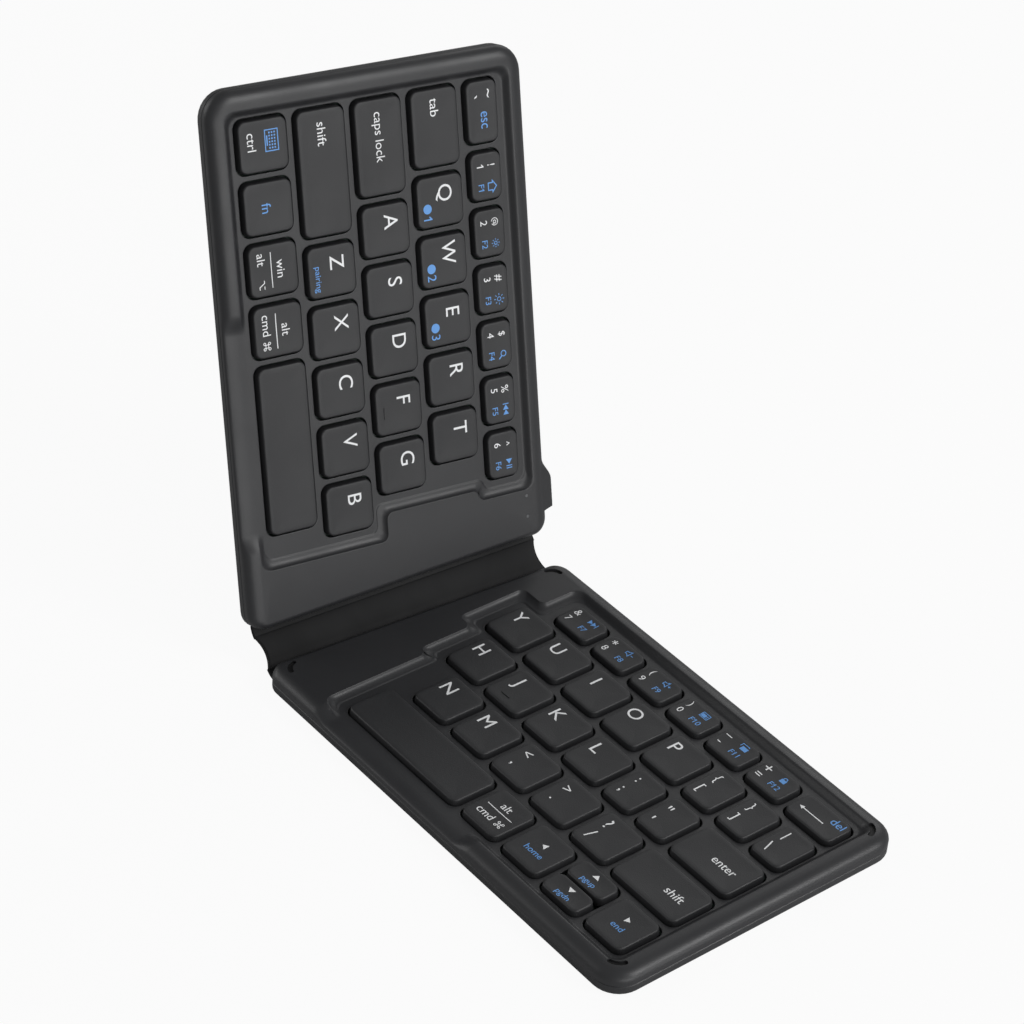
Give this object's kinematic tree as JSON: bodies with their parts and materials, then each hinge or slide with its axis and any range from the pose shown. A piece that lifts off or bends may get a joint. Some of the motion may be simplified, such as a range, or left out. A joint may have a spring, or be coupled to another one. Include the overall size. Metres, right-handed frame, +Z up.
{
  "type": "folding keyboard",
  "caption": "Pocket keyboard in two halves that fold together about a flexible rubber spine, with low scissor keys in a recessed deck.",
  "frame": {"origin": "on the flat underside of the right half, 80 mm from its hinge axis and half way along the hinge", "axes": "+X along the right half, away from the hinge; +Y along the hinge towards the number row; +Z up out of the right half's keys"},
  "size_m": [0.2258, 0.1166, 0.1627],
  "materials": {
    "housing": "soft-touch matte",
    "keycap": "fine-textured matte",
    "spine_rubber": "matte elastomer",
    "pad_rubber": "matte",
    "base_plate": "satin",
    "membrane": "printed film",
    "dome_rubber": "translucent silicone",
    "scissor_plastic": "moulded",
    "screw_steel": "zinc plated",
    "battery_foil": "foil pouch",
    "board": "solder mask",
    "port_steel": "bare",
    "light_pipe": "clear moulded",
    "cable_film": "polyimide film"
  },
  "bodies": {
    "right_half": {"right_top_frame": "housing", "right_bottom_cover": "housing", "right_base_plate": "base_plate", "right_membrane": "membrane", "right_rubber_domes": "dome_rubber", "right_scissors": "scissor_plastic", "right_screws": "screw_steel", "right_feet": "pad_rubber", "corner_bumpers": "pad_rubber", "battery": "battery_foil"},
    "spine": {"spine_band": "spine_rubber", "hinge_webs": "spine_rubber", "flex_cable": "cable_film"},
    "left_half": {"left_top_frame": "housing", "left_bottom_cover": "housing", "left_base_plate": "base_plate", "left_membrane": "membrane", "left_rubber_domes": "dome_rubber", "left_scissors": "scissor_plastic", "left_screws": "screw_steel", "left_feet": "pad_rubber", "main_board": "board", "charge_port": "port_steel", "indicator_lights": "light_pipe"},
    "key_q": {"key_q": "keycap"},
    "key_w": {"key_w": "keycap"},
    "key_e": {"key_e": "keycap"},
    "key_r": {"key_r": "keycap"},
    "key_t": {"key_t": "keycap"},
    "key_a": {"key_a": "keycap"},
    "key_s": {"key_s": "keycap"},
    "key_d": {"key_d": "keycap"},
    "key_f": {"key_f": "keycap"},
    "key_g": {"key_g": "keycap"},
    "key_z": {"key_z": "keycap"},
    "key_x": {"key_x": "keycap"},
    "key_c": {"key_c": "keycap"},
    "key_v": {"key_v": "keycap"},
    "key_b": {"key_b": "keycap"},
    "left_shift_key": {"left_shift_key": "keycap"},
    "left_space_bar": {"left_space_bar": "keycap"},
    "left_number_keys": {"left_number_keys": "keycap"},
    "left_side_keys": {"left_side_keys": "keycap"},
    "key_y": {"key_y": "keycap"},
    "key_u": {"key_u": "keycap"},
    "key_i": {"key_i": "keycap"},
    "key_o": {"key_o": "keycap"},
    "key_p": {"key_p": "keycap"},
    "key_h": {"key_h": "keycap"},
    "key_j": {"key_j": "keycap"},
    "key_k": {"key_k": "keycap"},
    "key_l": {"key_l": "keycap"},
    "key_n": {"key_n": "keycap"},
    "key_m": {"key_m": "keycap"},
    "right_shift_key": {"right_shift_key": "keycap"},
    "enter_key": {"enter_key": "keycap"},
    "right_space_bar": {"right_space_bar": "keycap"},
    "right_number_keys": {"right_number_keys": "keycap"},
    "punctuation_keys": {"punctuation_keys": "keycap"},
    "arrow_keys": {"arrow_keys": "keycap"}
  },
  "joints": [
    {"name": "fold_right", "type": "hinge", "parent": "right_half", "child": "spine", "pos_m": [-0.08, 0, 0.001], "axis": [0, 1, 0], "range_deg": [-38, 52], "deforming": ["hinge_webs", "flex_cable"]},
    {"name": "fold_left", "type": "hinge", "parent": "spine", "child": "left_half", "pos_m": [-0.09087, 0, 0.0095], "axis": [0, 1, 0], "range_deg": [-32.5, 57.5], "deforming": ["hinge_webs", "flex_cable"]},
    {"name": "press_q", "type": "slide", "parent": "left_half", "child": "key_q", "axis": [-0.9426, 0, -0.3338], "range_m": [0, 0.0015], "stiffness_N_per_m": 200, "springref_m": -0.0005, "deforming": ["left_rubber_domes", "left_scissors"]},
    {"name": "press_w", "type": "slide", "parent": "left_half", "child": "key_w", "axis": [-0.9426, 0, -0.3338], "range_m": [0, 0.0015], "stiffness_N_per_m": 200, "springref_m": -0.0005, "deforming": ["left_rubber_domes", "left_scissors"]},
    {"name": "press_e", "type": "slide", "parent": "left_half", "child": "key_e", "axis": [-0.9426, 0, -0.3338], "range_m": [0, 0.0015], "stiffness_N_per_m": 200, "springref_m": -0.0005, "deforming": ["left_rubber_domes", "left_scissors"]},
    {"name": "press_r", "type": "slide", "parent": "left_half", "child": "key_r", "axis": [-0.9426, 0, -0.3338], "range_m": [0, 0.0015], "stiffness_N_per_m": 200, "springref_m": -0.0005, "deforming": ["left_rubber_domes", "left_scissors"]},
    {"name": "press_t", "type": "slide", "parent": "left_half", "child": "key_t", "axis": [-0.9426, 0, -0.3338], "range_m": [0, 0.0015], "stiffness_N_per_m": 200, "springref_m": -0.0005, "deforming": ["left_rubber_domes", "left_scissors"]},
    {"name": "press_a", "type": "slide", "parent": "left_half", "child": "key_a", "axis": [-0.9426, 0, -0.3338], "range_m": [0, 0.0015], "stiffness_N_per_m": 200, "springref_m": -0.0005, "deforming": ["left_rubber_domes", "left_scissors"]},
    {"name": "press_s", "type": "slide", "parent": "left_half", "child": "key_s", "axis": [-0.9426, 0, -0.3338], "range_m": [0, 0.0015], "stiffness_N_per_m": 200, "springref_m": -0.0005, "deforming": ["left_rubber_domes", "left_scissors"]},
    {"name": "press_d", "type": "slide", "parent": "left_half", "child": "key_d", "axis": [-0.9426, 0, -0.3338], "range_m": [0, 0.0015], "stiffness_N_per_m": 200, "springref_m": -0.0005, "deforming": ["left_rubber_domes", "left_scissors"]},
    {"name": "press_f", "type": "slide", "parent": "left_half", "child": "key_f", "axis": [-0.9426, 0, -0.3338], "range_m": [0, 0.0015], "stiffness_N_per_m": 200, "springref_m": -0.0005, "deforming": ["left_rubber_domes", "left_scissors"]},
    {"name": "press_g", "type": "slide", "parent": "left_half", "child": "key_g", "axis": [-0.9426, 0, -0.3338], "range_m": [0, 0.0015], "stiffness_N_per_m": 200, "springref_m": -0.0005, "deforming": ["left_rubber_domes", "left_scissors"]},
    {"name": "press_z", "type": "slide", "parent": "left_half", "child": "key_z", "axis": [-0.9426, 0, -0.3338], "range_m": [0, 0.0015], "stiffness_N_per_m": 200, "springref_m": -0.0005, "deforming": ["left_rubber_domes", "left_scissors"]},
    {"name": "press_x", "type": "slide", "parent": "left_half", "child": "key_x", "axis": [-0.9426, 0, -0.3338], "range_m": [0, 0.0015], "stiffness_N_per_m": 200, "springref_m": -0.0005, "deforming": ["left_rubber_domes", "left_scissors"]},
    {"name": "press_c", "type": "slide", "parent": "left_half", "child": "key_c", "axis": [-0.9426, 0, -0.3338], "range_m": [0, 0.0015], "stiffness_N_per_m": 200, "springref_m": -0.0005, "deforming": ["left_rubber_domes", "left_scissors"]},
    {"name": "press_v", "type": "slide", "parent": "left_half", "child": "key_v", "axis": [-0.9426, 0, -0.3338], "range_m": [0, 0.0015], "stiffness_N_per_m": 200, "springref_m": -0.0005, "deforming": ["left_rubber_domes", "left_scissors"]},
    {"name": "press_b", "type": "slide", "parent": "left_half", "child": "key_b", "axis": [-0.9426, 0, -0.3338], "range_m": [0, 0.0015], "stiffness_N_per_m": 200, "springref_m": -0.0005, "deforming": ["left_rubber_domes", "left_scissors"]},
    {"name": "press_left_shift", "type": "slide", "parent": "left_half", "child": "left_shift_key", "axis": [-0.9426, 0, -0.3338], "range_m": [0, 0.0015], "stiffness_N_per_m": 200, "springref_m": -0.0005, "deforming": ["left_rubber_domes", "left_scissors"]},
    {"name": "press_left_space_bar", "type": "slide", "parent": "left_half", "child": "left_space_bar", "axis": [-0.9426, 0, -0.3338], "range_m": [0, 0.0015], "stiffness_N_per_m": 200, "springref_m": -0.0005, "deforming": ["left_rubber_domes", "left_scissors"]},
    {"name": "press_left_numbers", "type": "slide", "parent": "left_half", "child": "left_number_keys", "axis": [-0.9426, 0, -0.3338], "range_m": [0, 0.0015], "stiffness_N_per_m": 1400, "springref_m": -0.0005, "deforming": ["left_rubber_domes", "left_scissors"]},
    {"name": "press_left_sides", "type": "slide", "parent": "left_half", "child": "left_side_keys", "axis": [-0.9426, 0, -0.3338], "range_m": [0, 0.0015], "stiffness_N_per_m": 1200, "springref_m": -0.0005, "deforming": ["left_rubber_domes", "left_scissors"]},
    {"name": "press_y", "type": "slide", "parent": "right_half", "child": "key_y", "axis": [0, 0, -1], "range_m": [0, 0.0015], "stiffness_N_per_m": 200, "springref_m": -0.0005, "deforming": ["right_rubber_domes", "right_scissors"]},
    {"name": "press_u", "type": "slide", "parent": "right_half", "child": "key_u", "axis": [0, 0, -1], "range_m": [0, 0.0015], "stiffness_N_per_m": 200, "springref_m": -0.0005, "deforming": ["right_rubber_domes", "right_scissors"]},
    {"name": "press_i", "type": "slide", "parent": "right_half", "child": "key_i", "axis": [0, 0, -1], "range_m": [0, 0.0015], "stiffness_N_per_m": 200, "springref_m": -0.0005, "deforming": ["right_rubber_domes", "right_scissors"]},
    {"name": "press_o", "type": "slide", "parent": "right_half", "child": "key_o", "axis": [0, 0, -1], "range_m": [0, 0.0015], "stiffness_N_per_m": 200, "springref_m": -0.0005, "deforming": ["right_rubber_domes", "right_scissors"]},
    {"name": "press_p", "type": "slide", "parent": "right_half", "child": "key_p", "axis": [0, 0, -1], "range_m": [0, 0.0015], "stiffness_N_per_m": 200, "springref_m": -0.0005, "deforming": ["right_rubber_domes", "right_scissors"]},
    {"name": "press_h", "type": "slide", "parent": "right_half", "child": "key_h", "axis": [0, 0, -1], "range_m": [0, 0.0015], "stiffness_N_per_m": 200, "springref_m": -0.0005, "deforming": ["right_rubber_domes", "right_scissors"]},
    {"name": "press_j", "type": "slide", "parent": "right_half", "child": "key_j", "axis": [0, 0, -1], "range_m": [0, 0.0015], "stiffness_N_per_m": 200, "springref_m": -0.0005, "deforming": ["right_rubber_domes", "right_scissors"]},
    {"name": "press_k", "type": "slide", "parent": "right_half", "child": "key_k", "axis": [0, 0, -1], "range_m": [0, 0.0015], "stiffness_N_per_m": 200, "springref_m": -0.0005, "deforming": ["right_rubber_domes", "right_scissors"]},
    {"name": "press_l", "type": "slide", "parent": "right_half", "child": "key_l", "axis": [0, 0, -1], "range_m": [0, 0.0015], "stiffness_N_per_m": 200, "springref_m": -0.0005, "deforming": ["right_rubber_domes", "right_scissors"]},
    {"name": "press_n", "type": "slide", "parent": "right_half", "child": "key_n", "axis": [0, 0, -1], "range_m": [0, 0.0015], "stiffness_N_per_m": 200, "springref_m": -0.0005, "deforming": ["right_rubber_domes", "right_scissors"]},
    {"name": "press_m", "type": "slide", "parent": "right_half", "child": "key_m", "axis": [0, 0, -1], "range_m": [0, 0.0015], "stiffness_N_per_m": 200, "springref_m": -0.0005, "deforming": ["right_rubber_domes", "right_scissors"]},
    {"name": "press_right_shift", "type": "slide", "parent": "right_half", "child": "right_shift_key", "axis": [0, 0, -1], "range_m": [0, 0.0015], "stiffness_N_per_m": 200, "springref_m": -0.0005, "deforming": ["right_rubber_domes", "right_scissors"]},
    {"name": "press_enter", "type": "slide", "parent": "right_half", "child": "enter_key", "axis": [0, 0, -1], "range_m": [0, 0.0015], "stiffness_N_per_m": 200, "springref_m": -0.0005, "deforming": ["right_rubber_domes", "right_scissors"]},
    {"name": "press_right_space_bar", "type": "slide", "parent": "right_half", "child": "right_space_bar", "axis": [0, 0, -1], "range_m": [0, 0.0015], "stiffness_N_per_m": 200, "springref_m": -0.0005, "deforming": ["right_rubber_domes", "right_scissors"]},
    {"name": "press_right_numbers", "type": "slide", "parent": "right_half", "child": "right_number_keys", "axis": [0, 0, -1], "range_m": [0, 0.0015], "stiffness_N_per_m": 1400, "springref_m": -0.0005, "deforming": ["right_rubber_domes", "right_scissors"]},
    {"name": "press_punctuations", "type": "slide", "parent": "right_half", "child": "punctuation_keys", "axis": [0, 0, -1], "range_m": [0, 0.0015], "stiffness_N_per_m": 1600, "springref_m": -0.0005, "deforming": ["right_rubber_domes", "right_scissors"]},
    {"name": "press_arrows", "type": "slide", "parent": "right_half", "child": "arrow_keys", "axis": [0, 0, -1], "range_m": [0, 0.0015], "stiffness_N_per_m": 1000, "springref_m": -0.0005, "deforming": ["right_rubber_domes", "right_scissors"]}
  ]
}
